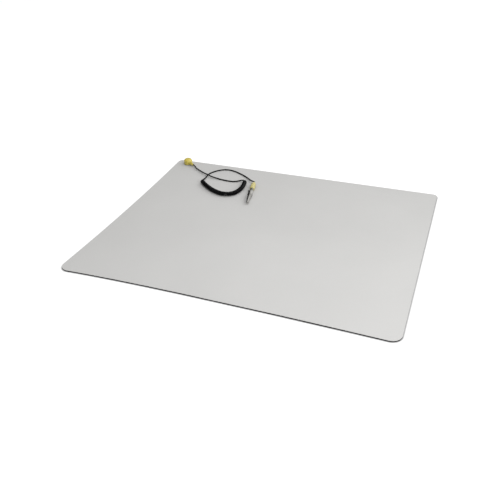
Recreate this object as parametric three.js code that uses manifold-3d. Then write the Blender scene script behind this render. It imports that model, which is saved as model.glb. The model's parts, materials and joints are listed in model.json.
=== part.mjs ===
// An anti-static bench mat with its curly grounding cord lying on it.
// One end of the cord is snapped to the mat, and the other ends in a plug and a crocodile clip.
// Millimetres. The origin is the middle of the mat's underside. +X runs along the mat's long side,
// +Y towards the side with the snap, and +Z up.

import * as THREE from "three";
import { mergeVertices } from "three/addons/utils/BufferGeometryUtils.js";
import Module from "manifold-3d";

const wasm = await Module();
wasm.setup();

// Clearance between fitted pieces
const fitGap = 0.3;

// Mat
const matLength = 600;
const matDepth = 500;
const faceThickness = 0.5;
const baseThickness = 2.0;
const nearCornerRadius = 17.5;
const farCornerRadius = 9;
const leftSideBow = 4.7;
const nearSideBow = 5.3;
const nearSideBowX = -60;
const nearLeftInset = 4.3;

// Snap on the mat
const snapFromLeftSide = 28;
const snapFromFarSide = 16;
const studRadius = 5.0;
const studNeckRadius = 4.3;
const studFlangeRadius = 7.0;
const studFlangeThickness = 0.5;
const studNeckHeight = 0.9;
const studBallHeight = 2.4;
const studRecessRadius = 3.5;
const studRecessDepth = 1.1;
const rivetPostRadius = 2.0;
const rivetHeadRadius = 3.1;
const rivetHeadThickness = 0.5;
const rivetFlangeRadius = 6.0;
const rivetFlangeThickness = 0.5;
const rivetRecessDepth = 0.65;

// Snap head on the cord
const socketWall = 2.0;
const socketDepth = 4.2;
const socketRoof = 0.8;
const socketLipHeight = 0.7;
const headWall = 2.15;
const headRoof = 6.9;
const headEdgeRound = 6.0;
const reliefLength = 22.4;
const reliefRootRadius = 3.8;
const reliefTipRadius = 2.3;
const reliefHeight = 4.1;
const reliefTurnDegrees = -33;

// Cord
const wireRadius = 1.4;
const coilRadius = 4.8;
const cordRestGap = 0.2;

// Plug
const plugRearX = -83.9;
const plugRearY = 174.1;
const plugTurnDegrees = 11.1;
const plugLength = 30;
const plugRadius = 5.25;
const plugRearRadius = 2.7;
const plugTaperLength = 9;
const plugNoseRadius = 4.1;
const plugNoseLength = 2.4;
const gripFromTaper = 1.5;
const gripGrooves = 5;
const gripGrooveSpacing = 3.0;
const gripGrooveWidth = 1.2;
const gripGrooveDepth = 0.5;
const pinRadius = 2.0;
const pinReach = 11;
const pinShankDepth = 8;
const pinWaist = 0.25;

// Crocodile clip
const sheet = 0.8;
const barrelLength = 12;
const barrelWall = 0.9;
const barrelSeat = 4;
const pivotFromBarrelMouth = 28;
const jawReach = 34.5;
const pivotHeight = 4.75;
const pivotRadius = 1.1;
const pivotHeadRadius = 2.0;
const pivotHeadThickness = 0.5;
const earRadius = 3.0;
const earOverlap = 0.4;
const jawHalfWidth = 3.5;
const jawTipHalfWidth = 1.7;
const jawStraight = 4;
const jawTipHeight = 2.0;
const jawTipWall = 1.5;
const jawTipBevel = 0.6;
const teethGap = 0.45;
const toothHeight = 1.0;
const toothPitch = 2.2;
const teeth = 11;
const roofHeight = 4.2;
const leverKneeX = -2;
const leverAngleDegrees = 10;
const leverLength = 7;
const leverEndLength = 2.2;
const leverEndAngleDegrees = 4;
const leverHalfWidth = 4.9;
const leverFlange = 1.8;
const springWireRadius = 0.35;
const springRadius = 2.2;
const springTurns = 3.5;
const springWidth = 3.0;
const springHighLegX = -6.1;
const springLowLegX = -6.6;

// Places and sizes that follow from these
const matTop = baseThickness + faceThickness;
const snapX = -matLength / 2 + snapFromLeftSide;
const snapY = matDepth / 2 - snapFromFarSide;
const studBottom = matTop;
const studFlangeTop = studBottom + studFlangeThickness;
const studTop = studFlangeTop + studNeckHeight + studBallHeight;
const studLedge = studTop - studRecessDepth;
const socketBottom = studFlangeTop + fitGap;
const socketTop = socketBottom + socketDepth + socketRoof;
const socketRadius = studRadius + fitGap + socketWall;
const headRadius = socketRadius + fitGap + headWall;
const headTop = socketTop + fitGap + headRoof;
const reliefAxisHeight = socketBottom + reliefHeight;
const reliefTurn = THREE.MathUtils.degToRad(reliefTurnDegrees);
const cordHeight = matTop + cordRestGap + wireRadius;
const coilHeight = matTop + cordRestGap + coilRadius;
const coilSide = coilRadius - wireRadius - fitGap;
const plugTurn = THREE.MathUtils.degToRad(plugTurnDegrees - 90);
const plugFloor = matTop + fitGap;
const barrelBore = pinRadius + fitGap;
const barrelRadius = barrelBore + barrelWall;
const barrelMouth = plugLength + fitGap;
const pivotStation = barrelMouth + pivotFromBarrelMouth;
const pivotBore = pivotRadius + fitGap;
const lidHalfWidth = jawHalfWidth + fitGap + sheet;

function material(color, roughness, metalness) {
  return new THREE.MeshStandardMaterial({ color, roughness, metalness });
}

const paleRubber = () => material(0xcfcecb, 0.75, 0);
const blackRubber = () => material(0x1b1b1c, 0.7, 0);
const nickel = () => material(0xb9b8b4, 0.28, 1);
const yellowPlastic = () => material(0xc9b94e, 0.4, 0);
const paleYellowPlastic = () => material(0xcfc78e, 0.4, 0);
const blackCord = () => material(0x161617, 0.45, 0);

// Solids for cutting and joining, and back to a geometry

function solidOf(geometry) {
  const bare = geometry.clone();
  bare.deleteAttribute("normal");
  bare.deleteAttribute("uv");
  const merged = mergeVertices(bare, 1e-4);
  const mesh = new wasm.Mesh({
    numProp: 3,
    vertProperties: merged.attributes.position.array,
    triVerts: merged.index.array,
  });
  return new wasm.Manifold(mesh);
}

function geometryOf(solid) {
  const mesh = solid.getMesh();
  const geometry = new THREE.BufferGeometry();
  geometry.setAttribute("position", new THREE.BufferAttribute(mesh.vertProperties, 3));
  geometry.setIndex(new THREE.BufferAttribute(mesh.triVerts, 1));
  geometry.computeVertexNormals();
  return geometry;
}

function piece(name, geometry, look) {
  const mesh = new THREE.Mesh(geometry, look);
  mesh.name = name;
  return mesh;
}

// Turned shapes: each profile is a list of [radius, height] pairs

function turned(profile, sides = 40) {
  const points = profile.map(([radius, height]) => new THREE.Vector2(radius, height));
  return new THREE.LatheGeometry(points, sides);
}

const turnedUpright = (profile, sides) => turned(profile, sides).rotateX(Math.PI / 2);
const turnedAlongX = (profile, sides) => turned(profile, sides).rotateZ(-Math.PI / 2);

function disc(radius, low, high) {
  return turnedUpright([[0, low], [radius, low], [radius, high], [0, high]]);
}

// A side outline in X and Z, made as wide as halfWidth on each side of the middle plane

function slab(outline, halfWidth) {
  const geometry = new THREE.ExtrudeGeometry(outline, {
    depth: 2 * halfWidth,
    bevelEnabled: false,
    curveSegments: 10,
  });
  return geometry.translate(0, 0, -halfWidth).rotateX(Math.PI / 2);
}

// A plan outline in X and Y, made as high as low to high

function plate(outline, low, high) {
  const geometry = new THREE.ExtrudeGeometry(outline, {
    depth: high - low,
    bevelEnabled: false,
    curveSegments: 16,
  });
  return geometry.translate(0, 0, low);
}

// Mat: two bonded layers with one outline, rounder at the near corners, the left and near sides bowed in

function matOutline() {
  const left = -matLength / 2;
  const right = matLength / 2;
  const near = -matDepth / 2;
  const nearLeft = near + nearLeftInset;
  const far = matDepth / 2;
  const nearRound = nearCornerRadius;
  const farRound = farCornerRadius;
  const pullX = 2 * nearSideBowX;
  const pullY = near + (nearLeftInset * (right - pullX)) / matLength + 2 * nearSideBow;
  const outline = new THREE.Shape();
  outline.moveTo(left + nearRound, nearLeft);
  outline.quadraticCurveTo(pullX, pullY, right - nearRound, near);
  outline.absarc(right - nearRound, near + nearRound, nearRound, -Math.PI / 2, 0);
  outline.lineTo(right, far - farRound);
  outline.absarc(right - farRound, far - farRound, farRound, 0, Math.PI / 2);
  outline.lineTo(left + farRound, far);
  outline.absarc(left + farRound, far - farRound, farRound, Math.PI / 2, Math.PI);
  outline.quadraticCurveTo(left + 2 * leftSideBow, 0, left, nearLeft + nearRound);
  outline.absarc(left + nearRound, nearLeft + nearRound, nearRound, Math.PI, 1.5 * Math.PI);
  return outline;
}

function matLayer(low, high) {
  const layer = solidOf(plate(matOutline(), low, high));
  const postHole = disc(rivetPostRadius + fitGap, low - 1, high + 1).translate(snapX, snapY, 0);
  return layer.subtract(solidOf(postHole));
}

function dissipativeTopLayer() {
  return piece("dissipative_top_layer", geometryOf(matLayer(baseThickness, matTop)), paleRubber());
}

function conductiveBaseLayer() {
  const recess = disc(rivetFlangeRadius + fitGap, -1, rivetRecessDepth).translate(snapX, snapY, 0);
  const layer = matLayer(0, baseThickness).subtract(solidOf(recess));
  return piece("conductive_base_layer", geometryOf(layer), blackRubber());
}

// Snap on the mat: a male stud clamped by a rivet from below

function snapStud() {
  const bore = rivetPostRadius + fitGap;
  const neckTop = studFlangeTop + studNeckHeight;
  const profile = [
    [bore, studBottom],
    [studFlangeRadius, studBottom],
    [studFlangeRadius, studFlangeTop],
    [studNeckRadius, studFlangeTop],
    [studNeckRadius, neckTop],
    [studRadius, neckTop + 0.7],
    [studRadius, studTop - 0.7],
    [studRadius - 0.5, studTop - 0.15],
    [studRadius - 0.9, studTop],
    [studRecessRadius, studTop],
    [studRecessRadius, studLedge],
    [bore, studLedge],
    [bore, studBottom],
  ];
  return piece("snap_stud", turnedUpright(profile), nickel());
}

function snapRivet() {
  const flangeLow = rivetRecessDepth - rivetFlangeThickness;
  const profile = [
    [0, flangeLow],
    [rivetFlangeRadius, flangeLow],
    [rivetFlangeRadius, rivetRecessDepth],
    [rivetPostRadius, rivetRecessDepth],
    [rivetPostRadius, studLedge],
    [rivetHeadRadius, studLedge],
    [rivetHeadRadius, studLedge + rivetHeadThickness / 2],
    [rivetPostRadius, studLedge + rivetHeadThickness],
    [0, studLedge + rivetHeadThickness],
  ];
  return piece("snap_rivet", turnedUpright(profile), nickel());
}

function snapOnMat() {
  const group = new THREE.Group();
  group.add(snapStud(), snapRivet());
  group.position.set(snapX, snapY, 0);
  return group;
}

// Snap head: a metal socket in a moulded cap whose tapered strain relief points along +X before turning

function snapSocket() {
  const cavity = studRadius + fitGap;
  const lip = studNeckRadius + fitGap;
  const ceiling = socketTop - socketRoof;
  const lipTop = socketBottom + socketLipHeight;
  const profile = [
    [0, ceiling],
    [cavity, ceiling],
    [cavity, lipTop + 0.5],
    [lip, lipTop],
    [lip, socketBottom],
    [socketRadius, socketBottom],
    [socketRadius, socketTop],
    [0, socketTop],
  ];
  return piece("snap_socket", turnedUpright(profile), nickel());
}

function snapHead() {
  const profile = [
    [0, socketBottom],
    [headRadius - 0.5, socketBottom],
    [headRadius, socketBottom + 0.6],
  ];
  const roundSteps = 6;
  for (let i = 0; i <= roundSteps; i++) {
    const angle = (i / roundSteps) * (Math.PI / 2);
    const radius = headRadius - headEdgeRound * (1 - Math.cos(angle));
    profile.push([radius, headTop - headEdgeRound * (1 - Math.sin(angle))]);
  }
  profile.push([0, headTop + 0.25]);
  const cap = solidOf(turnedUpright(profile));
  const reliefRoot = headRadius - headWall;
  const reliefProfile = [
    [0, reliefRoot],
    [reliefRootRadius, reliefRoot],
    [reliefRootRadius, headRadius],
    [reliefTipRadius, reliefLength],
    [0, reliefLength],
  ];
  const relief = solidOf(turnedAlongX(reliefProfile, 24).translate(0, 0, reliefAxisHeight));
  const cavity = solidOf(disc(socketRadius + fitGap, socketBottom - 1, socketTop + fitGap));
  return piece("snap_head", geometryOf(cap.add(relief).subtract(cavity)), yellowPlastic());
}

function snapOnCord() {
  const group = new THREE.Group();
  group.add(snapSocket(), snapHead());
  group.position.set(snapX, snapY, 0);
  group.rotation.z = reliefTurn;
  return group;
}

// Cord: two straight tails and the curly stretch between them, on the mat's face

function reliefExit(distance) {
  const along = new THREE.Vector3(Math.cos(reliefTurn), Math.sin(reliefTurn), 0);
  return new THREE.Vector3(snapX, snapY, reliefAxisHeight).addScaledVector(along, distance);
}

function plugEntry(distance) {
  const along = new THREE.Vector3(Math.cos(plugTurn), Math.sin(plugTurn), 0);
  return new THREE.Vector3(plugRearX, plugRearY, plugFloor + plugRadius).addScaledVector(along, -distance);
}

const coilPoints = [
  [-106.4, 177.6],
  [-102.6, 156.5],
  [-102.1, 139.5],
  [-105.6, 122.2],
  [-113.6, 111.2],
  [-127.5, 106.0],
  [-143.5, 108.6],
  [-162.6, 118.4],
  [-180.8, 132.2],
  [-199.2, 149.6],
].map(([x, y]) => new THREE.Vector3(x, y, coilHeight));

const coilLine = new THREE.CatmullRomCurve3(coilPoints, false, "centripetal");

// A point off the coil's end face: distance out from it, and aside to the left as seen looking out of it

function coilEnd(atStart, distance, aside = coilSide) {
  const end = coilLine.getPointAt(atStart ? 0 : 1);
  const out = coilLine.getTangentAt(atStart ? 0 : 1).multiplyScalar(atStart ? -1 : 1);
  const left = new THREE.Vector3(-out.y, out.x, 0);
  return end.addScaledVector(out, distance).addScaledVector(left, atStart ? aside : -aside);
}

const crossingRise = 2 * wireRadius + fitGap;

const snapTailPoints = [
  reliefExit(reliefLength + fitGap),
  reliefExit(reliefLength + 5),
  new THREE.Vector3(-239.2, 209.6, cordHeight + 2.0),
  new THREE.Vector3(-225.0, 200.0, cordHeight + 1.7),
  new THREE.Vector3(-211.5, 190.9, cordHeight + 0.7 * crossingRise),
  new THREE.Vector3(-200.7, 184.4, cordHeight + crossingRise),
  new THREE.Vector3(-188.5, 179.2, cordHeight + 0.7 * crossingRise),
  new THREE.Vector3(-176.0, 177.2, cordHeight + 0.3 * crossingRise),
  new THREE.Vector3(-163.8, 175.6, cordHeight),
  new THREE.Vector3(-149.5, 173.8, cordHeight),
  new THREE.Vector3(-136.5, 173.6, cordHeight),
  new THREE.Vector3(-127.8, 175.7, cordHeight + 0.3),
  new THREE.Vector3(-121.6, 178.9, cordHeight + 1.2),
  new THREE.Vector3(-115.6, 180.9, cordHeight + 2.4),
  coilEnd(true, fitGap + 3.5),
  coilEnd(true, fitGap),
];

const plugTailPoints = [
  coilEnd(false, fitGap),
  coilEnd(false, fitGap + 3),
  new THREE.Vector3(-199.6, 159.2, cordHeight + 1.7),
  new THREE.Vector3(-199.6, 167.5, cordHeight + 0.5),
  new THREE.Vector3(-200.0, 177.5, cordHeight),
  new THREE.Vector3(-201.0, 188.0, cordHeight),
  new THREE.Vector3(-198.8, 199.6, cordHeight),
  new THREE.Vector3(-193.6, 209.4, cordHeight),
  new THREE.Vector3(-185.8, 219.0, cordHeight),
  new THREE.Vector3(-175.0, 226.0, cordHeight),
  new THREE.Vector3(-163.0, 227.8, cordHeight),
  new THREE.Vector3(-148.5, 224.4, cordHeight),
  new THREE.Vector3(-133.5, 217.0, cordHeight),
  new THREE.Vector3(-119.0, 207.8, cordHeight + 0.3),
  new THREE.Vector3(-107.0, 197.6, cordHeight + 1.0),
  new THREE.Vector3(-96.3, 186.8, cordHeight + 2.4),
  plugEntry(4),
  plugEntry(fitGap),
];

function tube(points, radius, sides, steps) {
  const section = new THREE.Shape();
  for (let i = 0; i < sides; i++) {
    const angle = (i / sides) * 2 * Math.PI;
    const x = radius * Math.cos(angle);
    const y = radius * Math.sin(angle);
    if (i === 0) section.moveTo(x, y);
    else section.lineTo(x, y);
  }
  section.closePath();
  const line = new THREE.CatmullRomCurve3(points, false, "centripetal");
  return new THREE.ExtrudeGeometry(section, { steps, extrudePath: line, bevelEnabled: false });
}

function cordTailSnap() {
  return piece("cord_tail_snap", tube(snapTailPoints, wireRadius, 8, 30), blackCord());
}

function cordCoil() {
  return piece("cord_coil", tube(coilPoints, coilRadius, 12, 20), blackCord());
}

function cordTailPlug() {
  return piece("cord_tail_plug", tube(plugTailPoints, wireRadius, 8, 38), blackCord());
}

// Plug: a moulded handle on a metal pin, both turned about the same line

function plugHandle() {
  const gripStart = plugTaperLength + gripFromTaper;
  const noseStart = plugLength - plugNoseLength;
  const profile = [
    [0, 0],
    [plugRearRadius - 0.4, 0],
    [plugRearRadius, 0.5],
    [plugRadius - 0.6, plugTaperLength - 1.2],
    [plugRadius, plugTaperLength],
  ];
  for (let i = 0; i < gripGrooves; i++) {
    const start = gripStart + i * gripGrooveSpacing;
    profile.push([plugRadius, start]);
    profile.push([plugRadius - gripGrooveDepth, start + 0.3]);
    profile.push([plugRadius - gripGrooveDepth, start + gripGrooveWidth - 0.3]);
    profile.push([plugRadius, start + gripGrooveWidth]);
  }
  profile.push([plugRadius, noseStart]);
  profile.push([plugNoseRadius, noseStart + 0.8]);
  profile.push([plugNoseRadius, plugLength]);
  profile.push([pinRadius + fitGap, plugLength]);
  profile.push([pinRadius + fitGap, plugLength - pinShankDepth]);
  profile.push([0, plugLength - pinShankDepth]);
  const handle = turnedAlongX(profile, 32).translate(0, 0, plugRadius);
  return piece("plug_handle", handle, paleYellowPlastic());
}

function plugPin() {
  const rear = plugLength - pinShankDepth + fitGap;
  const front = plugLength + pinReach;
  const profile = [
    [0, rear],
    [pinRadius, rear],
    [pinRadius, plugLength + 1.5],
    [pinRadius - pinWaist, plugLength + 3],
    [pinRadius, plugLength + pinReach / 2],
    [pinRadius - pinWaist, front - 2.5],
    [pinRadius - 0.5, front - 0.8],
    [pinRadius - 1.2, front],
    [0, front],
  ];
  return piece("plug_pin", turnedAlongX(profile, 24).translate(0, 0, plugRadius), nickel());
}

// Clip, with X forward from the pivot and Z up from its underside.
// The lower jaw is a channel open upwards, the upper jaw a channel open downwards that straddles it.

function jawHalfWidthAt(x) {
  const share = (x - jawStraight) / (jawReach - jawStraight);
  return jawHalfWidth - share * (jawHalfWidth - jawTipHalfWidth);
}

function toothLine(lift) {
  const points = [];
  for (let i = 0; i < 2 * teeth; i++) {
    const x = jawReach - (i * toothPitch) / 2;
    points.push([x, pivotHeight + lift - (i % 2) * toothHeight]);
  }
  return points;
}

function symmetricPlan(edge) {
  const outline = new THREE.Shape();
  edge.forEach(([x, halfWidth], i) => {
    if (i === 0) outline.moveTo(x, -halfWidth);
    else outline.lineTo(x, -halfWidth);
  });
  for (const [x, halfWidth] of [...edge].reverse()) outline.lineTo(x, halfWidth);
  outline.closePath();
  return solidOf(plate(outline, -10, 40));
}

function alongY(radius, halfLength) {
  return turned([[0, -halfLength], [radius, -halfLength], [radius, halfLength], [0, halfLength]], 24);
}

function pivotCut() {
  return solidOf(alongY(pivotBore, 20).translate(0, 0, pivotHeight));
}

const channelRear = -pivotFromBarrelMouth + barrelLength - barrelSeat;
const channelRearTop = plugRadius - 1.2;
const channelFloorRear = plugRadius - barrelRadius + 0.25;

function lowerJawUnderside(outline, lift, frontX) {
  const noseRise = pivotHeight - jawTipHeight;
  outline.moveTo(channelRear - lift, channelFloorRear + lift);
  outline.lineTo(-11, channelFloorRear + lift);
  outline.quadraticCurveTo(-8, lift, -4, lift);
  outline.lineTo(8, lift);
  outline.quadraticCurveTo(22, lift, frontX, noseRise + lift);
}

function clipLowerJaw() {
  const side = new THREE.Shape();
  lowerJawUnderside(side, 0, jawReach);
  for (const [x, z] of toothLine(-teethGap / 2)) side.lineTo(x, z);
  side.lineTo(earRadius, pivotHeight - teethGap / 2);
  side.absarc(0, pivotHeight, earRadius, 0, Math.PI);
  side.quadraticCurveTo(-earRadius - 1, channelRearTop, -earRadius - 4, channelRearTop);
  side.lineTo(channelRear, channelRearTop);
  side.closePath();
  const inside = new THREE.Shape();
  lowerJawUnderside(inside, sheet, jawReach - jawTipWall);
  inside.lineTo(jawReach - jawTipWall, 20);
  inside.lineTo(channelRear - sheet, 20);
  inside.closePath();
  const outerPlan = [
    [channelRear, jawHalfWidth],
    [jawStraight, jawHalfWidth],
    [jawReach - 1, jawHalfWidthAt(jawReach - 1)],
    [jawReach, jawTipHalfWidth - jawTipBevel],
  ];
  const innerPlan = [
    [channelRear - 1, jawHalfWidth - sheet],
    [jawStraight, jawHalfWidth - sheet],
    [jawReach, jawTipHalfWidth - sheet],
  ];
  const outer = solidOf(slab(side, 20)).intersect(symmetricPlan(outerPlan));
  const hollow = solidOf(slab(inside, 15)).intersect(symmetricPlan(innerPlan));
  const channel = outer.subtract(hollow).subtract(pivotCut());
  const mouth = -pivotFromBarrelMouth;
  const barrelProfile = [
    [0, mouth],
    [barrelRadius, mouth],
    [barrelRadius, mouth + barrelLength],
    [0, mouth + barrelLength],
  ];
  const boreProfile = [
    [0, mouth - 1],
    [barrelBore, mouth - 1],
    [barrelBore, mouth + barrelLength + 1],
    [0, mouth + barrelLength + 1],
  ];
  const barrel = solidOf(turnedAlongX(barrelProfile, 28).translate(0, 0, plugRadius));
  const bore = solidOf(turnedAlongX(boreProfile, 28).translate(0, 0, plugRadius));
  return piece("clip_lower_jaw", geometryOf(channel.add(barrel).subtract(bore)), nickel());
}

// The upper jaw's roof and lever as a line of the sheet's underside, raised by lift for its upper side

function lidLine(outline, lift, frontX) {
  const leverAngle = THREE.MathUtils.degToRad(leverAngleDegrees);
  const endAngle = THREE.MathUtils.degToRad(leverEndAngleDegrees);
  const roof = pivotHeight + roofHeight + lift;
  const kneeX = leverKneeX - lift * Math.tan(leverAngle / 2);
  const miter = lift * Math.tan((leverAngle + endAngle) / 2);
  const bendX = leverKneeX - leverLength * Math.cos(leverAngle) - miter;
  const bendZ = roof + (kneeX - bendX) * Math.tan(leverAngle);
  const endX = bendX - leverEndLength * Math.cos(endAngle);
  const endZ = bendZ + leverEndLength * Math.sin(endAngle);
  outline.lineTo(frontX, pivotHeight + jawTipHeight - sheet + lift);
  outline.quadraticCurveTo(14, roof, 2, roof);
  outline.lineTo(kneeX, roof);
  outline.lineTo(bendX, bendZ);
  outline.lineTo(endX, endZ);
  return { bendX, bendZ, endX, endZ };
}

function clipUpperJaw() {
  const teethUpwards = toothLine(teethGap / 2);
  const side = new THREE.Shape();
  side.moveTo(...teethUpwards[0]);
  const top = lidLine(side, sheet, jawReach);
  const vertical = sheet / Math.cos(THREE.MathUtils.degToRad(leverEndAngleDegrees));
  side.lineTo(top.endX, top.endZ - vertical);
  side.lineTo(top.bendX + 0.5, top.bendZ - vertical - 0.4);
  side.lineTo(-earRadius - 2.5, pivotHeight + roofHeight + 0.4 - leverFlange);
  side.lineTo(-earRadius - earOverlap, pivotHeight);
  side.absarc(0, pivotHeight, earRadius + earOverlap, Math.PI, 2 * Math.PI);
  side.lineTo(earRadius + earOverlap, pivotHeight + teethGap / 2);
  for (const [x, z] of teethUpwards.slice(1).reverse()) side.lineTo(x, z);
  side.closePath();
  const inside = new THREE.Shape();
  inside.moveTo(jawReach - jawTipWall, -10);
  const under = lidLine(inside, 0, jawReach - jawTipWall);
  inside.lineTo(under.endX, -10);
  inside.closePath();
  const flareRear = jawStraight + 1.5;
  const flareFront = flareRear + 3;
  const padFront = under.bendX + 2.5;
  const outerPlan = [
    [under.endX - 2, leverHalfWidth - 1.5],
    [under.endX + 1, leverHalfWidth],
    [under.bendX + 1, leverHalfWidth],
    [padFront, lidHalfWidth],
    [flareRear, lidHalfWidth],
    [flareFront, jawHalfWidthAt(flareFront)],
    [jawReach - 1, jawHalfWidthAt(jawReach - 1)],
    [jawReach, jawTipHalfWidth - jawTipBevel],
  ];
  const innerPlan = [
    [padFront, lidHalfWidth - sheet],
    [flareRear, lidHalfWidth - sheet],
    [flareFront, jawHalfWidthAt(flareFront) - sheet],
    [jawReach, jawTipHalfWidth - sheet],
  ];
  const outer = solidOf(slab(side, 20)).intersect(symmetricPlan(outerPlan));
  const hollow = solidOf(slab(inside, 15)).intersect(symmetricPlan(innerPlan));
  return piece("clip_upper_jaw", geometryOf(outer.subtract(hollow).subtract(pivotCut())), nickel());
}

function clipPivotPin() {
  const headStart = lidHalfWidth + fitGap;
  const headEnd = headStart + pivotHeadThickness;
  const profile = [
    [0, -headEnd],
    [pivotHeadRadius - 0.3, -headEnd],
    [pivotHeadRadius, -headStart],
    [pivotRadius, -headStart],
    [pivotRadius, headStart],
    [pivotHeadRadius, headStart],
    [pivotHeadRadius - 0.3, headEnd],
    [0, headEnd],
  ];
  return piece("clip_pivot_pin", turned(profile, 24).translate(0, 0, pivotHeight), nickel());
}

// Spring: a few turns round the pin, with one leg on the lower jaw's floor and one under the lever

function clipSpring() {
  const leverAngle = THREE.MathUtils.degToRad(leverAngleDegrees);
  const clear = springWireRadius + fitGap;
  const leverUnderside = pivotHeight + roofHeight + (leverKneeX - springHighLegX) * Math.tan(leverAngle);
  const legHeight = sheet + clear + 0.6;
  const points = [
    new THREE.Vector3(springHighLegX, springWidth / 2, leverUnderside - clear / Math.cos(leverAngle)),
    new THREE.Vector3(-5, springWidth / 2, pivotHeight + springRadius + 1.3),
    new THREE.Vector3(-1.8, springWidth / 2, pivotHeight + springRadius + 0.3),
  ];
  const stepsPerTurn = 12;
  const steps = springTurns * stepsPerTurn;
  for (let i = 0; i <= steps; i++) {
    const angle = (i / stepsPerTurn) * 2 * Math.PI;
    const across = springWidth / 2 - (i / steps) * springWidth;
    const x = springRadius * Math.sin(angle);
    const z = pivotHeight + springRadius * Math.cos(angle);
    points.push(new THREE.Vector3(x, across, z));
  }
  points.push(new THREE.Vector3(springLowLegX / 2, -springWidth / 2, legHeight));
  points.push(new THREE.Vector3(springLowLegX, -springWidth / 2, legHeight));
  return piece("clip_spring", tube(points, springWireRadius, 6, 90), nickel());
}

function crocodileClip() {
  const group = new THREE.Group();
  group.add(clipLowerJaw(), clipUpperJaw(), clipPivotPin(), clipSpring());
  group.position.x = pivotStation;
  return group;
}

function plugAndClip() {
  const group = new THREE.Group();
  group.add(plugHandle(), plugPin(), crocodileClip());
  group.position.set(plugRearX, plugRearY, plugFloor);
  group.rotation.z = plugTurn;
  return group;
}

const mat = new THREE.Group();
mat.add(dissipativeTopLayer(), conductiveBaseLayer(), snapOnMat());
mat.add(snapOnCord(), cordTailSnap(), cordCoil(), cordTailPlug(), plugAndClip());

export default mat;
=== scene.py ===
import json
import math

import bmesh
import bpy
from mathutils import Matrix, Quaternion, Vector


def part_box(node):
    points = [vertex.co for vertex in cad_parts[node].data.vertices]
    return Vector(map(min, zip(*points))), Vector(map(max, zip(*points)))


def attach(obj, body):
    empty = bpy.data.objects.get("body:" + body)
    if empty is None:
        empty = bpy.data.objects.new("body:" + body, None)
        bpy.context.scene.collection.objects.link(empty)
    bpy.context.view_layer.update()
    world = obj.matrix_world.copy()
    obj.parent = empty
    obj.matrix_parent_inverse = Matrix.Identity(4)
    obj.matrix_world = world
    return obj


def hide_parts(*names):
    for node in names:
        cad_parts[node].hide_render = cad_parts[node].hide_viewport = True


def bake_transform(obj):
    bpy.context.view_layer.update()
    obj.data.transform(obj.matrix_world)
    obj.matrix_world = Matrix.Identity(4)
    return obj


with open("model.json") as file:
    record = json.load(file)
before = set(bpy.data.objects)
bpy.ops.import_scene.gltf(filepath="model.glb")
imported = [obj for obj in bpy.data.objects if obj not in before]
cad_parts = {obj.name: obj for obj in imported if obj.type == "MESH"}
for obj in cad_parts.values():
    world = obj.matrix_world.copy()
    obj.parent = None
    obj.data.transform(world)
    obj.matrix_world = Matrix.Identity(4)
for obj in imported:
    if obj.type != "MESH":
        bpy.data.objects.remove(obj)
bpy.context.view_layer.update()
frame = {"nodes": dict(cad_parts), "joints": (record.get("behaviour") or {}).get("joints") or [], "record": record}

# The looks of an anti-static bench mat with its curly grounding cord lying on it.
# Metres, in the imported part's frame: +X along the mat's long side, +Y towards the side with the snap,
# and +Z up.
# MM turns the millimetre sizes of the part's source into metres.

MM = 0.001
scene = bpy.context.scene
joints = {joint["name"]: joint for joint in frame["joints"]}

# Places that the frame gives
MAT_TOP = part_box("dissipative_top_layer")[1].z
SNAP = Vector(joints["snap_swivel"]["pos_m"])
PIVOT = Vector(joints["clip_jaw_hinge"]["pos_m"])
PIVOT_AXIS = Vector(joints["clip_jaw_hinge"]["axis"])

# Camera, at the photograph's angle
CAMERA_PLACE = Vector((0.34295, -0.96591, 0.59894))
CAMERA_TARGET = Vector((0.00082, -0.08021, 0.0025))
CAMERA_ROLL_DEGREES = -1.3957
CAMERA_LENS = 44.0837
CAMERA_SENSOR = 36.0


def make_camera():
    data = bpy.data.cameras.new("camera")
    data.sensor_fit = "HORIZONTAL"
    data.sensor_width = CAMERA_SENSOR
    data.lens = CAMERA_LENS
    data.clip_start = 0.01
    data.clip_end = 50
    camera = bpy.data.objects.new("camera", data)
    scene.collection.objects.link(camera)
    looking = (CAMERA_TARGET - CAMERA_PLACE).to_track_quat("-Z", "Y")
    roll = Quaternion((0, 0, 1), math.radians(CAMERA_ROLL_DEGREES))
    camera.rotation_mode = "QUATERNION"
    camera.rotation_quaternion = looking @ roll
    camera.location = CAMERA_PLACE
    scene.camera = camera


make_camera()

# Cord: the route points repeat the ones in the part's source, in millimetres, except that the wire's
# two ends go on into the bores of the strain relief and the plug
FIT_GAP = 0.3
WIRE_RADIUS = 1.4
COIL_RADIUS = 4.8
CORD_REST_GAP = 0.2
COIL_SIDE = COIL_RADIUS - WIRE_RADIUS - FIT_GAP
CORD_HEIGHT = MAT_TOP / MM + CORD_REST_GAP + WIRE_RADIUS
COIL_HEIGHT = MAT_TOP / MM + CORD_REST_GAP + COIL_RADIUS
CROSSING_RISE = 2 * WIRE_RADIUS + FIT_GAP

RELIEF_TURN = math.radians(-33)
RELIEF_LENGTH = 22.4
WIRE_IN_BORE = 0.6
STUD_FLANGE_THICKNESS = 0.5
SOCKET_BOTTOM = MAT_TOP / MM + STUD_FLANGE_THICKNESS + FIT_GAP
RELIEF_ABOVE_SOCKET_BOTTOM = 4.1
RELIEF_HEIGHT = SOCKET_BOTTOM + RELIEF_ABOVE_SOCKET_BOTTOM
SNAP_X, SNAP_Y = SNAP.x / MM, SNAP.y / MM

PLUG_LENGTH = 30
PLUG_RADIUS = 5.25
PIVOT_FROM_CLIP_REAR = 28
PIVOT_FROM_PLUG_REAR = PLUG_LENGTH + FIT_GAP + PIVOT_FROM_CLIP_REAR
PLUG_FLOOR = MAT_TOP / MM + FIT_GAP
PLUG_ALONG = Vector((-PIVOT_AXIS.y, PIVOT_AXIS.x, 0))
PLUG_REAR = PIVOT / MM - PLUG_ALONG * PIVOT_FROM_PLUG_REAR

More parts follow.
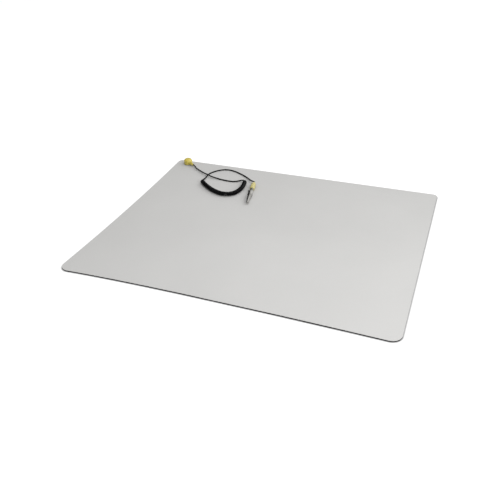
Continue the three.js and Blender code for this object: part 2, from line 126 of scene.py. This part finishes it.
COIL_TURN_PITCH = 2.85
COIL_LEAD = 6
COIL_STEPS_PER_TURN = 22
COIL_LONGEST_STEP = 1
COIL_LINE_STEP = 0.1
COIL_BEND_REACH = 4
TAIL_STEP = 0.9
WIRE_SIDES = 12


def relief_exit(distance):
    x = SNAP_X + distance * math.cos(RELIEF_TURN)
    y = SNAP_Y + distance * math.sin(RELIEF_TURN)
    return Vector((x, y, RELIEF_HEIGHT))


def plug_entry(distance):
    point = PLUG_REAR - PLUG_ALONG * distance
    return Vector((point.x, point.y, PLUG_FLOOR + PLUG_RADIUS))


def smooth_line(points, step):
    """A centripetal Catmull-Rom line through the points, sampled about every step."""
    ends = [2 * points[0] - points[1], *points, 2 * points[-1] - points[-2]]
    line = []
    for i in range(len(points) - 1):
        a, b, c, d = ends[i : i + 4]
        ta = 0
        tb = ta + (b - a).length ** 0.5
        tc = tb + (c - b).length ** 0.5
        td = tc + (d - c).length ** 0.5
        count = max(1, round((c - b).length / step))
        for k in range(count):
            t = tb + (tc - tb) * k / count
            ab = a * ((tb - t) / (tb - ta)) + b * ((t - ta) / (tb - ta))
            bc = b * ((tc - t) / (tc - tb)) + c * ((t - tb) / (tc - tb))
            cd = c * ((td - t) / (td - tc)) + d * ((t - tc) / (td - tc))
            abc = ab * ((tc - t) / (tc - ta)) + bc * ((t - ta) / (tc - ta))
            bcd = bc * ((td - t) / (td - tb)) + cd * ((t - tb) / (td - tb))
            line.append(abc * ((tc - t) / (tc - tb)) + bcd * ((t - tb) / (tc - tb)))
    line.append(points[-1].copy())
    return line


COIL_POINTS = [
    Vector((x, y, COIL_HEIGHT))
    for x, y in [
        (-106.4, 177.6),
        (-102.6, 156.5),
        (-102.1, 139.5),
        (-105.6, 122.2),
        (-113.6, 111.2),
        (-127.5, 106.0),
        (-143.5, 108.6),
        (-162.6, 118.4),
        (-180.8, 132.2),
        (-199.2, 149.6),
    ]
]
COIL_LINE = smooth_line(COIL_POINTS, COIL_LINE_STEP)


def coil_end(at_start, distance):
    """A point on the wire just off the coil's end face, distance out from it."""
    end, inner = (COIL_LINE[0], COIL_LINE[1]) if at_start else (COIL_LINE[-1], COIL_LINE[-2])
    out = (end - inner).normalized()
    left = Vector((-out.y, out.x, 0))
    return end + out * distance + left * (COIL_SIDE if at_start else -COIL_SIDE)


SNAP_TAIL_POINTS = [
    relief_exit(RELIEF_LENGTH - WIRE_IN_BORE),
    relief_exit(RELIEF_LENGTH + 5),
    Vector((-239.2, 209.6, CORD_HEIGHT + 2.0)),
    Vector((-225.0, 200.0, CORD_HEIGHT + 1.7)),
    Vector((-211.5, 190.9, CORD_HEIGHT + 0.7 * CROSSING_RISE)),
    Vector((-200.7, 184.4, CORD_HEIGHT + CROSSING_RISE)),
    Vector((-188.5, 179.2, CORD_HEIGHT + 0.7 * CROSSING_RISE)),
    Vector((-176.0, 177.2, CORD_HEIGHT + 0.3 * CROSSING_RISE)),
    Vector((-163.8, 175.6, CORD_HEIGHT)),
    Vector((-149.5, 173.8, CORD_HEIGHT)),
    Vector((-136.5, 173.6, CORD_HEIGHT)),
    Vector((-127.8, 175.7, CORD_HEIGHT + 0.3)),
    Vector((-121.6, 178.9, CORD_HEIGHT + 1.2)),
    Vector((-115.6, 180.9, CORD_HEIGHT + 2.4)),
    coil_end(True, FIT_GAP + 3.5),
    coil_end(True, FIT_GAP),
]

PLUG_TAIL_POINTS = [
    coil_end(False, FIT_GAP),
    coil_end(False, FIT_GAP + 3),
    Vector((-199.6, 159.2, CORD_HEIGHT + 1.7)),
    Vector((-199.6, 167.5, CORD_HEIGHT + 0.5)),
    Vector((-200.0, 177.5, CORD_HEIGHT)),
    Vector((-201.0, 188.0, CORD_HEIGHT)),
    Vector((-198.8, 199.6, CORD_HEIGHT)),
    Vector((-193.6, 209.4, CORD_HEIGHT)),
    Vector((-185.8, 219.0, CORD_HEIGHT)),
    Vector((-175.0, 226.0, CORD_HEIGHT)),
    Vector((-163.0, 227.8, CORD_HEIGHT)),
    Vector((-148.5, 224.4, CORD_HEIGHT)),
    Vector((-133.5, 217.0, CORD_HEIGHT)),
    Vector((-119.0, 207.8, CORD_HEIGHT + 0.3)),
    Vector((-107.0, 197.6, CORD_HEIGHT + 1.0)),
    Vector((-96.3, 186.8, CORD_HEIGHT + 2.4)),
    plug_entry(4),
    plug_entry(-WIRE_IN_BORE),
]


def smoothstep(value):
    value = min(1, max(0, value))
    return value * value * (3 - 2 * value)


def coil_turns():
    """The wire's line round the coil. Its turns touch on the inside of a bend and fan open outside."""
    helix_radius = COIL_RADIUS - WIRE_RADIUS
    count = len(COIL_LINE) - 1
    tangents, steps = [], []
    for i in range(count):
        along = COIL_LINE[i + 1] - COIL_LINE[i]
        steps.append(along.length)
        tangents.append(along.normalized())
    total = sum(steps)
    reach = round(COIL_BEND_REACH / COIL_LINE_STEP)
    rates = []
    done = 0
    for i in range(count):
        before, after = max(0, i - reach), min(count - 1, i + reach)
        bend = tangents[before].angle(tangents[after]) / max(sum(steps[before:after]), 1e-6)
        spread = 1 / (1 - helix_radius * bend)
        lead = smoothstep(done / COIL_LEAD) * smoothstep((total - done) / COIL_LEAD)
        rates.append(lead / (COIL_TURN_PITCH * spread))
        done += steps[i]
    turns = sum(rate * step for rate, step in zip(rates, steps))
    whole = round(turns)
    points = []
    angle = 0
    done = 0
    next_angle = 0
    next_place = 0
    for i in range(count):
        along = tangents[i]
        side = Vector((along.y, -along.x, 0))
        settle = smoothstep(done / COIL_LEAD) * smoothstep((total - done) / COIL_LEAD)
        radius = COIL_SIDE + (helix_radius - COIL_SIDE) * settle
        if angle >= next_angle or done >= next_place:
            offset = side * math.cos(angle) + Vector((0, 0, math.sin(angle)))
            points.append(COIL_LINE[i] + offset * radius)
            next_angle = angle + 2 * math.pi / COIL_STEPS_PER_TURN
            next_place = done + COIL_LONGEST_STEP
        angle += 2 * math.pi * rates[i] * steps[i] * whole / turns
        done += steps[i]
    return points


def wire_mesh(name, line, radius, sides):
    """A closed round tube along the line, turned as little as the line allows."""
    mesh = bpy.data.meshes.new(name)
    vertices, faces = [], []
    across = Vector((0, 0, 1))
    for i, point in enumerate(line):
        ahead = line[min(i + 1, len(line) - 1)] - line[max(i - 1, 0)]
        ahead.normalize()
        across = (across - ahead * across.dot(ahead)).normalized()
        other = ahead.cross(across)
        for k in range(sides):
            angle = 2 * math.pi * k / sides
            offset = across * math.cos(angle) + other * math.sin(angle)
            vertices.append(point + offset * radius)
    for i in range(len(line) - 1):
        for k in range(sides):
            a, b = i * sides + k, i * sides + (k + 1) % sides
            faces.append((a, b, b + sides, a + sides))
    faces.append(tuple(reversed(range(sides))))
    faces.append(tuple(range(len(vertices) - sides, len(vertices))))
    mesh.from_pydata([tuple(v) for v in vertices], [], faces)
    mesh.update()
    mesh.shade_smooth()
    return mesh


def link(name, mesh):
    piece = bpy.data.objects.new(name, mesh)
    scene.collection.objects.link(piece)
    return piece


def eased(line, middle, reach=12, rounds=14, share_moved=0.6):
    """The line with its bends near the middle place opened up, most at that place itself."""
    for _ in range(rounds):
        before = list(line)
        for i in range(middle - reach, middle + reach + 1):
            share = 1 - abs(i - middle) / (reach + 1)
            between = (before[i - 1] + before[i + 1]) / 2
            line[i] = before[i].lerp(between, share_moved * share)
    return line


def make_cord():
    line = smooth_line(SNAP_TAIL_POINTS, TAIL_STEP)[:-1]
    coil_start = len(line)
    line += coil_turns()
    coil_finish = len(line)
    line += smooth_line(PLUG_TAIL_POINTS, TAIL_STEP)
    line = eased(eased(line, coil_start), coil_finish)
    line = [point * MM for point in line]
    mesh = wire_mesh("curly_cord", line, WIRE_RADIUS * MM, WIRE_SIDES)
    return link("curly_cord", mesh), line


curly_cord, cord_line = make_cord()

# Turned shapes: a profile is a list of (radius, distance along the axis), in millimetres


def rounded(profile, radius, steps=4):
    """The profile with each of its inner corners turned into a small curve."""
    points = [Vector(point) for point in profile]
    result = [points[0]]
    for before, corner, after in zip(points, points[1:], points[2:]):
        reach = min(radius, 0.45 * (corner - before).length, 0.45 * (after - corner).length)
        start = corner + (before - corner).normalized() * reach
        end = corner + (after - corner).normalized() * reach
        for k in range(steps + 1):
            share = k / steps
            result.append(start.lerp(corner, share).lerp(corner.lerp(end, share), share))
    result.append(points[-1])
    return result


def smooth_faces(mesh, sharp_degrees=30):
    mesh.shade_smooth()
    mesh.set_sharp_from_angle(angle=math.radians(sharp_degrees))


def turned(name, profile, base, along, sides=72):
    """A closed solid, turned about the line that starts at base and runs along."""
    across = along.orthogonal().normalized()
    other = along.cross(across)
    vertices, faces, rings = [], [], []
    for radius, distance in profile:
        middle = base + along * distance
        count = 1 if radius < 1e-6 else sides
        rings.append([len(vertices) + k for k in range(count)])
        for k in range(count):
            angle = 2 * math.pi * k / sides
            offset = across * math.cos(angle) + other * math.sin(angle)
            vertices.append((middle + offset * radius) * MM)
    for low, high in zip(rings, rings[1:]):
        for k in range(sides):
            corners = [low[k % len(low)], low[(k + 1) % len(low)]]
            corners += [high[(k + 1) % len(high)], high[k % len(high)]]
            faces.append(list(dict.fromkeys(corners)))
    mesh = bpy.data.meshes.new(name)
    mesh.from_pydata([tuple(v) for v in vertices], [], faces)
    work = bmesh.new()
    work.from_mesh(mesh)
    bmesh.ops.recalc_face_normals(work, faces=work.faces)
    work.to_mesh(mesh)
    work.free()
    smooth_faces(mesh)
    return link(name, mesh)


def joined(piece, other):
    """One solid out of two."""
    modifier = piece.modifiers.new("join", "BOOLEAN")
    modifier.operation = "UNION"
    modifier.solver = "EXACT"
    modifier.object = other
    bpy.context.view_layer.update()
    whole = piece.evaluated_get(bpy.context.evaluated_depsgraph_get())
    mesh = bpy.data.meshes.new_from_object(whole)
    piece.modifiers.clear()
    piece.data = mesh
    bpy.data.objects.remove(other)
    smooth_faces(mesh)
    return piece


# Snap head: the sizes repeat the ones in the part's source
SOCKET_RADIUS = 7.3
SOCKET_HEIGHT = 5.0
SOCKET_TOP = SOCKET_BOTTOM + SOCKET_HEIGHT
HEAD_WALL = 2.15
HEAD_ROOF = 6.9
HEAD_RADIUS = SOCKET_RADIUS + FIT_GAP + HEAD_WALL
HEAD_TOP = SOCKET_TOP + FIT_GAP + HEAD_ROOF
HEAD_EDGE_ROUND = 6.0
HEAD_FOOT_INSET = 0.5
HEAD_FOOT_HEIGHT = 0.6
HEAD_CROWN = 0.25
HEAD_CROWN_SHOULDER_RADIUS = 2.0
HEAD_CROWN_SHOULDER = 0.17
DOME_STEPS = 18
RELIEF_ROOT_RADIUS = 3.8
RELIEF_TIP_RADIUS = 2.3
RELIEF_ROOT_INSIDE_HEAD = 1.6
RELIEF_FLARE = 0.5
RELIEF_BORE_DEPTH = 1
BORE_RADIUS = WIRE_RADIUS + 0.1
MOULDED_EDGE = 0.5


def make_head():
    axis = Vector((SNAP_X, SNAP_Y, 0))
    cavity_radius, cavity_top = SOCKET_RADIUS + FIT_GAP, SOCKET_TOP + FIT_GAP
    profile = [(0, cavity_top), (cavity_radius, cavity_top), (cavity_radius, SOCKET_BOTTOM)]
    profile += [(HEAD_RADIUS - HEAD_FOOT_INSET, SOCKET_BOTTOM)]
    profile += [(HEAD_RADIUS, SOCKET_BOTTOM + HEAD_FOOT_HEIGHT)]
    for i in range(DOME_STEPS + 1):
        angle = math.pi / 2 * i / DOME_STEPS
        radius = HEAD_RADIUS - HEAD_EDGE_ROUND * (1 - math.cos(angle))
        profile.append((radius, HEAD_TOP - HEAD_EDGE_ROUND * (1 - math.sin(angle))))
    profile += [(HEAD_CROWN_SHOULDER_RADIUS, HEAD_TOP + HEAD_CROWN_SHOULDER), (0, HEAD_TOP + HEAD_CROWN)]
    cap = turned("head", profile, axis, Vector((0, 0, 1)))
    root = HEAD_RADIUS - RELIEF_ROOT_INSIDE_HEAD
    bore_end = RELIEF_LENGTH - RELIEF_BORE_DEPTH
    relief_profile = [(0, root), (RELIEF_ROOT_RADIUS + RELIEF_FLARE, root)]
    relief_profile += [(RELIEF_ROOT_RADIUS, HEAD_RADIUS + RELIEF_FLARE)]
    relief_profile += [(RELIEF_TIP_RADIUS, RELIEF_LENGTH), (BORE_RADIUS, RELIEF_LENGTH)]
    relief_profile += [(BORE_RADIUS, bore_end), (0, bore_end)]
    along = (relief_exit(1) - relief_exit(0)).normalized()
    relief = turned("relief", rounded(relief_profile, MOULDED_EDGE), relief_exit(0), along, 48)
    return joined(cap, relief)


# Plug: the sizes repeat the ones in the part's source
PLUG_REAR_RADIUS = 2.7
PLUG_TAPER_LENGTH = 9
PLUG_NOSE_RADIUS = 4.1
PLUG_NOSE_LENGTH = 2.4
GRIP_FROM_TAPER = 1.5
GRIP_GROOVES = 5
GRIP_GROOVE_SPACING = 3.0
GRIP_GROOVE_WIDTH = 1.2
GRIP_GROOVE_DEPTH = 0.5
GRIP_GROOVE_SLOPE = 0.3
PLUG_SHOULDER_STEP = 0.6
PLUG_SHOULDER_LENGTH = 1.2
PLUG_NOSE_STEP_LENGTH = 0.8
PLUG_BORE_DEPTH = 0.8
PLUG_EDGE = 0.35
PIN_BORE = 2.3
PIN_SHANK_DEPTH = 8


def make_plug():
    bottom = PLUG_RADIUS - GRIP_GROOVE_DEPTH
    bore_end = PLUG_LENGTH - PIN_SHANK_DEPTH
    profile = [(0, PLUG_BORE_DEPTH), (BORE_RADIUS, PLUG_BORE_DEPTH)]
    profile += [(BORE_RADIUS, 0), (PLUG_REAR_RADIUS, 0)]
    profile += [(PLUG_RADIUS - PLUG_SHOULDER_STEP, PLUG_TAPER_LENGTH - PLUG_SHOULDER_LENGTH)]
    profile += [(PLUG_RADIUS, PLUG_TAPER_LENGTH)]
    for i in range(GRIP_GROOVES):
        start = PLUG_TAPER_LENGTH + GRIP_FROM_TAPER + i * GRIP_GROOVE_SPACING
        finish = start + GRIP_GROOVE_WIDTH
        profile += [(PLUG_RADIUS, start), (bottom, start + GRIP_GROOVE_SLOPE)]
        profile += [(bottom, finish - GRIP_GROOVE_SLOPE), (PLUG_RADIUS, finish)]
    nose_start = PLUG_LENGTH - PLUG_NOSE_LENGTH
    profile += [(PLUG_RADIUS, nose_start), (PLUG_NOSE_RADIUS, nose_start + PLUG_NOSE_STEP_LENGTH)]
    profile += [(PLUG_NOSE_RADIUS, PLUG_LENGTH), (PIN_BORE, PLUG_LENGTH)]
    profile += [(PIN_BORE, bore_end), (0, bore_end)]
    return turned("plug", rounded(profile, PLUG_EDGE), plug_entry(0), PLUG_ALONG)


# Clip spring: turns round the pivot, one leg on the lower jaw's floor and one under the lever
SPRING_WIRE_RADIUS = 0.35
SPRING_RADIUS = 2.2
SPRING_WIDTH = 3.0
SPRING_TURNS = 3.5
SPRING_STEPS_PER_TURN = 24
SPRING_LINE_STEP = 0.4
SPRING_WIRE_SIDES = 10
SPRING_HIGH_LEG = [(-6.1, 3.7), (-4.4, 3.1), (-1.8, 2.5)]
SPRING_LOW_LEG = [(-3.3, -2.7), (-6.6, -2.7)]


def from_pivot(along, across, up):
    """A place in millimetres, by distances from the middle of the clip's pivot."""
    side = Vector((-PLUG_ALONG.y, PLUG_ALONG.x, 0))
    return PIVOT / MM + PLUG_ALONG * along + side * across + Vector((0, 0, up))


def make_spring():
    half = SPRING_WIDTH / 2
    high_leg = [from_pivot(along, half, up) for along, up in SPRING_HIGH_LEG]
    turns = []
    steps = round(SPRING_TURNS * SPRING_STEPS_PER_TURN)
    for i in range(steps + 1):
        angle = 2 * math.pi * SPRING_TURNS * i / steps
        across = half - SPRING_WIDTH * i / steps
        turns.append(from_pivot(SPRING_RADIUS * math.sin(angle), across, SPRING_RADIUS * math.cos(angle)))
    low_leg = [from_pivot(along, -half, up) for along, up in SPRING_LOW_LEG]
    line = smooth_line(high_leg + turns + low_leg, SPRING_LINE_STEP)
    line = [point * MM for point in line]
    mesh = wire_mesh("spring", line, SPRING_WIRE_RADIUS * MM, SPRING_WIRE_SIDES)
    return link("spring", mesh)


# Pieces that keep the frame's shape, with rounded edges
SAME_PLACE = 0.001
FLAT_DEGREES = 0.5
EDGE_DEGREES = 35
SMOOTH_UNDER_DEGREES = 20


def refined(name, node, edge_round, shape=None):
    """A copy of a frame node with whole faces and rounded edges, first reshaped if shape is given."""
    mesh = frame["nodes"][node].data.copy()
    mesh.name = name
    work = bmesh.new()
    work.from_mesh(mesh)
    bmesh.ops.remove_doubles(work, verts=work.verts, dist=SAME_PLACE * MM)
    flat = math.radians(FLAT_DEGREES)
    bmesh.ops.dissolve_limit(work, angle_limit=flat, verts=work.verts, edges=work.edges)
    if shape:
        shape(work)
    sharp = [edge for edge in work.edges if edge.calc_face_angle(0) > math.radians(EDGE_DEGREES)]
    bmesh.ops.bevel(
        work,
        geom=sharp,
        offset=edge_round * MM,
        segments=2,
        profile=0.5,
        affect="EDGES",
        clamp_overlap=True,
    )
    work.to_mesh(mesh)
    work.free()
    smooth_faces(mesh, SMOOTH_UNDER_DEGREES)
    return link(name, mesh)


LID_PITCH = math.tan(math.radians(24))
LID_RIDGE_ROUND = 0.5
LID_CUTS = (0, 0.5, 1.0, 1.7, 2.5, 3.4)
LID_FROM_PIVOT = 0.9
LEVER_FRONT = 4
LEVER_REAR = 11
LEVER_FLATTER = 0.65


def pitched_lid(work):
    """Presses the upper jaw's flat roof and lever into a ridge that falls away to both sides."""
    side = Vector((-PLUG_ALONG.y, PLUG_ALONG.x, 0))
    for cut in {sign * place for place in LID_CUTS for sign in (-1, 1)}:
        everything = work.verts[:] + work.edges[:] + work.faces[:]
        place = from_pivot(0, cut, 0) * MM
        bmesh.ops.bisect_plane(work, geom=everything, dist=SAME_PLACE * MM, plane_co=place, plane_no=side)
    for vertex in work.verts:
        offset = vertex.co / MM - PIVOT / MM
        if offset.z < LID_FROM_PIVOT:
            continue
        across = offset.dot(side)
        along = offset.dot(PLUG_ALONG)
        drop = LID_PITCH * (math.hypot(across, LID_RIDGE_ROUND) - LID_RIDGE_ROUND)
        back = smoothstep((-along - LEVER_FRONT) / (LEVER_REAR - LEVER_FRONT))
        flatter = 1 - LEVER_FLATTER * back
        vertex.co.z -= drop * flatter * MM


# Material building blocks


class Look:
    """A material being built from nodes, all in the piece's own coordinates."""

    def __init__(self, name):
        self.material = bpy.data.materials.new(name)
        self.material.use_nodes = True
        self.tree = self.material.node_tree
        self.shader = self.tree.nodes["Principled BSDF"]
        self.place = self.tree.nodes.new("ShaderNodeTexCoord").outputs["Object"]

    def set(self, **values):
        for name, value in values.items():
            self.shader.inputs[name.replace("_", " ")].default_value = value

    def noise(self, per_metre, detail=3, roughness=0.5, stretch=None):
        node = self.tree.nodes.new("ShaderNodeTexNoise")
        node.inputs["Scale"].default_value = per_metre
        node.inputs["Detail"].default_value = detail
        node.inputs["Roughness"].default_value = roughness
        self.tree.links.new(self.stretched(stretch), node.inputs["Vector"])
        return node.outputs["Fac"]

    def cells(self, per_metre):
        node = self.tree.nodes.new("ShaderNodeTexVoronoi")
        node.inputs["Scale"].default_value = per_metre
        self.tree.links.new(self.place, node.inputs["Vector"])
        return node.outputs["Distance"]

    def stretched(self, stretch):
        if stretch is None:
            return self.place
        node = self.tree.nodes.new("ShaderNodeMapping")
        node.inputs["Scale"].default_value = stretch
        self.tree.links.new(self.place, node.inputs["Vector"])
        return node.outputs["Vector"]

    def ramp(self, source, stops):
        """A colour or grey from the source, by (place, colour) stops."""
        node = self.tree.nodes.new("ShaderNodeValToRGB")
        elements = node.color_ramp.elements
        while len(elements) < len(stops):
            elements.new(0.5)
        for element, (place, colour) in zip(elements, stops):
            element.position = place
            grey = isinstance(colour, (int, float))
            element.color = (colour, colour, colour, 1) if grey else (*colour, 1)
        self.tree.links.new(source, node.inputs["Fac"])
        return node.outputs["Color"]

    def multiply(self, a, b, share=1.0):
        node = self.tree.nodes.new("ShaderNodeMix")
        node.data_type = "RGBA"
        node.blend_type = "MULTIPLY"
        node.inputs["Factor"].default_value = share
        self.tree.links.new(a, node.inputs["A"])
        self.tree.links.new(b, node.inputs["B"])
        return node.outputs["Result"]

    def colour(self, source):
        self.tree.links.new(source, self.shader.inputs["Base Color"])

    def roughness(self, source, low, high):
        grey = self.ramp(source, [(0.3, low), (0.7, high)])
        self.tree.links.new(grey, self.shader.inputs["Roughness"])

    def bump(self, height, depth, strength=1.0):
        node = self.tree.nodes.new("ShaderNodeBump")
        node.inputs["Strength"].default_value = strength
        node.inputs["Distance"].default_value = depth
        self.tree.links.new(height, node.inputs["Height"])
        last = self.shader.inputs["Normal"]
        if last.is_linked:
            self.tree.links.new(last.links[0].from_socket, node.inputs["Normal"])
        self.tree.links.new(node.outputs["Normal"], last)


def tinted(colour, factor):
    return tuple(channel * factor for channel in colour)


def pale_rubber():
    look = Look("pale_rubber")
    look.set(Specular_IOR_Level=0.28)
    grey = (0.405, 0.402, 0.395)
    broad = look.ramp(look.noise(5, 2), [(0.3, tinted(grey, 0.975)), (0.7, tinted(grey, 1.02))])
    fine = look.ramp(look.noise(900, 2), [(0.3, 0.955), (0.7, 1.0)])
    look.colour(look.multiply(broad, fine))
    look.roughness(look.noise(40, 3), 0.64, 0.74)
    look.bump(look.noise(1400, 2, 0.6), 0.05 * MM, 0.6)
    look.bump(look.cells(700), 0.06 * MM, 0.35)
    return look.material


def black_rubber():
    look = Look("black_rubber")
    look.set(Specular_IOR_Level=0.2)
    black = (0.006, 0.006, 0.0063)
    look.colour(look.ramp(look.noise(300, 4), [(0.3, tinted(black, 0.8)), (0.75, tinted(black, 1.7))]))
    look.roughness(look.noise(60, 3), 0.6, 0.75)
    look.bump(look.noise(1100, 3, 0.6), 0.06 * MM, 0.7)
    return look.material


def nickel():
    look = Look("nickel")
    look.set(Metallic=1.0)
    plate = (0.66, 0.645, 0.6)
    look.colour(look.ramp(look.noise(700, 4), [(0.25, tinted(plate, 0.82)), (0.7, plate)]))
    look.roughness(look.noise(500, 4), 0.16, 0.34)
    look.bump(look.noise(1800, 3), 0.01 * MM, 0.5)
    return look.material


def clip_steel():
    look = Look("clip_steel")
    look.set(Metallic=1.0)
    plate = (0.6, 0.59, 0.56)
    drawn = look.noise(900, 3, 0.6, stretch=(1, 0.12, 1))
    look.colour(look.ramp(look.noise(350, 4), [(0.3, tinted(plate, 0.72)), (0.7, plate)]))
    look.roughness(drawn, 0.12, 0.24)
    look.bump(drawn, 0.012 * MM, 0.6)
    return look.material


def yellow_plastic(name, yellow):
    look = Look(name)
    look.set(Specular_IOR_Level=0.5)
    base = look.ramp(look.noise(120, 3), [(0.3, tinted(yellow, 0.9)), (0.7, yellow)])
    scuffs = look.ramp(look.noise(1500, 4, 0.7), [(0.28, 0.84), (0.45, 1.0)])
    look.colour(look.multiply(base, scuffs))
    look.roughness(look.noise(250, 3), 0.26, 0.42)
    look.bump(look.noise(1300, 2), 0.03 * MM, 0.4)
    return look.material


def black_cord():
    look = Look("black_cord")
    look.set(Specular_IOR_Level=0.12)
    black = (0.0015, 0.0015, 0.0018)
    look.colour(look.ramp(look.noise(400, 3), [(0.3, tinted(black, 0.8)), (0.7, tinted(black, 1.5))]))
    look.roughness(look.noise(350, 3), 0.3, 0.44)
    look.bump(look.noise(1600, 3), 0.02 * MM, 0.5)
    return look.material


# One look for each material slot
LOOKS = {
    "pale_rubber": pale_rubber(),
    "black_rubber": black_rubber(),
    "nickel": nickel(),
    "clip_steel": clip_steel(),
    "yellow_plastic": yellow_plastic("yellow_plastic", (0.47, 0.385, 0.07)),
    "pale_yellow_plastic": yellow_plastic("pale_yellow_plastic", (0.45, 0.4, 0.165)),
    "black_cord": black_cord(),
}


def dress(piece, slot):
    piece.data.materials.clear()
    piece.data.materials.append(LOOKS[slot])


BODY_OF = {node: body for body, nodes in frame["record"]["behaviour"]["bodies"].items() for node in nodes}
SLOT_OF = {subpart["node"]: subpart["material_slot"] for subpart in frame["record"]["subparts"]}


def stand_in(piece, node):
    """The piece takes the frame node's place, body and material."""
    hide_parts(node)
    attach(piece, BODY_OF[node])
    dress(piece, SLOT_OF[node])
    return piece


# Pieces in place of the frame's nodes; a refined one gives its edges' rounding in millimetres
stand_in(refined("mat_face", "dissipative_top_layer", 0.15), "dissipative_top_layer")
stand_in(refined("mat_base", "conductive_base_layer", 0.25), "conductive_base_layer")
stand_in(refined("stud", "snap_stud", 0.12), "snap_stud")
stand_in(refined("rivet", "snap_rivet", 0.12), "snap_rivet")
socket = stand_in(refined("socket", "snap_socket", 0.12), "snap_socket")
head = stand_in(make_head(), "snap_head")
plug = stand_in(make_plug(), "plug_handle")
pin = stand_in(refined("pin", "plug_pin", 0.12), "plug_pin")
lower_jaw = stand_in(refined("lower_jaw", "clip_lower_jaw", 0.1), "clip_lower_jaw")
upper_jaw = stand_in(refined("upper_jaw", "clip_upper_jaw", 0.1, pitched_lid), "clip_upper_jaw")
pivot_rivet = stand_in(refined("pivot_rivet", "clip_pivot_pin", 0.12), "clip_pivot_pin")

spring = make_spring()
dress(spring, "clip_steel")
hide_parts("clip_spring")
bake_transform(spring)


def dress_cord():
    dress(curly_cord, "black_cord")
    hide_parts("cord_tail_snap", "cord_coil", "cord_tail_plug")
    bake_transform(curly_cord)


dress_cord()

# Floor, lights and surroundings

# Each dome brightens as a direction turns towards the bright side: from which turn, to which turn, and
# the strengths at the two
DOME_BRIGHT_SIDE = Vector((0.45, 0.35, 0.8))
SOFT_DOME = (-0.2, 1.0, 0.31, 1.4)
GLOSS_DOME = (0.45, 1.0, 0.01, 1.25)

FLOOR_HALF = 8.0
FLOOR_GLOW = 0.73
# Painted contact shade on the floor: how far the ambient occlusion reaches, and the openness below which the glow
# is gone
FLOOR_SHADE_REACH = 0.004
FLOOR_SHADE_FROM = 0.6


def make_floor():
    """A white floor that glows evenly, with a painted contact shade: its glow fades in the corner at the mat's
    foot, as light from all round does.
    """
    mesh = bpy.data.meshes.new("floor")
    corners = [(x * FLOOR_HALF, y * FLOOR_HALF, 0) for x, y in ((-1, -1), (1, -1), (1, 1), (-1, 1))]
    mesh.from_pydata(corners, [], [(0, 1, 2, 3)])
    floor = link("floor", mesh)
    look = Look("floor_white")
    look.set(Roughness=0.9, Emission_Color=(1, 1, 1, 1))
    look.colour(look.ramp(look.noise(3, 2), [(0.3, 0.27), (0.7, 0.29)]))
    # Painted shade: the floor's glow is dimmed by ambient occlusion, which draws a dark contact line at the mat's
    # foot
    painted_shade_openness = look.tree.nodes.new("ShaderNodeAmbientOcclusion")
    painted_shade_openness.inputs["Distance"].default_value = FLOOR_SHADE_REACH
    glow = look.ramp(painted_shade_openness.outputs["AO"], [(FLOOR_SHADE_FROM, 0), (1, FLOOR_GLOW)])
    look.tree.links.new(glow, look.shader.inputs["Emission Strength"])
    mesh.materials.append(look.material)


def soft_box(name, place, target, width, height, watts):
    data = bpy.data.lights.new(name, "AREA")
    data.shape = "RECTANGLE"
    data.size = width
    data.size_y = height
    data.energy = watts
    light = bpy.data.objects.new(name, data)
    light.location = place
    light.rotation_mode = "QUATERNION"
    light.rotation_quaternion = (Vector(target) - Vector(place)).to_track_quat("-Z", "Y")
    scene.collection.objects.link(light)


def dome_strength(tree, towards, dome):
    """How bright the dome is, by how much a direction turns towards its bright side."""
    node = tree.nodes.new("ShaderNodeMapRange")
    for name, value in zip(("From Min", "From Max", "To Min", "To Max"), dome):
        node.inputs[name].default_value = value
    tree.links.new(towards, node.inputs["Value"])
    return node.outputs["Result"]


def make_surroundings():
    """White round the camera's view, a soft dome for the light and a darker one for the gloss."""
    world = bpy.data.worlds.new("soft_white")
    world.use_nodes = True
    tree = world.node_tree
    dome = tree.nodes["Background"]
    dome.inputs["Color"].default_value = (1, 1, 1, 1)
    direction = tree.nodes.new("ShaderNodeTexCoord").outputs["Generated"]
    towards = tree.nodes.new("ShaderNodeVectorMath")
    towards.operation = "DOT_PRODUCT"
    towards.inputs[1].default_value = DOME_BRIGHT_SIDE.normalized()
    tree.links.new(direction, towards.inputs[0])
    ray = tree.nodes.new("ShaderNodeLightPath")
    strength = tree.nodes.new("ShaderNodeMix")
    tree.links.new(ray.outputs["Is Glossy Ray"], strength.inputs["Factor"])
    tree.links.new(dome_strength(tree, towards.outputs["Value"], SOFT_DOME), strength.inputs["A"])
    tree.links.new(dome_strength(tree, towards.outputs["Value"], GLOSS_DOME), strength.inputs["B"])
    tree.links.new(strength.outputs["Result"], dome.inputs["Strength"])
    room = tree.nodes.new("ShaderNodeBackground")
    room.inputs["Color"].default_value = (1, 1, 1, 1)
    mixed = tree.nodes.new("ShaderNodeMixShader")
    tree.links.new(ray.outputs["Is Camera Ray"], mixed.inputs["Fac"])
    tree.links.new(dome.outputs["Background"], mixed.inputs[1])
    tree.links.new(room.outputs["Background"], mixed.inputs[2])
    tree.links.new(mixed.outputs["Shader"], tree.nodes["World Output"].inputs["Surface"])
    scene.world = world
    scene.view_settings.view_transform = "Standard"


make_floor()
make_surroundings()

# Area lights: name, place, aim, width, height and watts
soft_box("key", (1.2, 0.9, 1.2), (0.0, 0.0, 0.0), 0.9, 0.9, 9)
soft_box("fill", (1.0, -0.9, 0.7), (0.1, -0.15, 0.0), 0.6, 0.6, 9)
soft_box("top", (0.2, -0.22, 0.85), (0.15, -0.1, 0.0), 0.6, 0.6, 2.6)
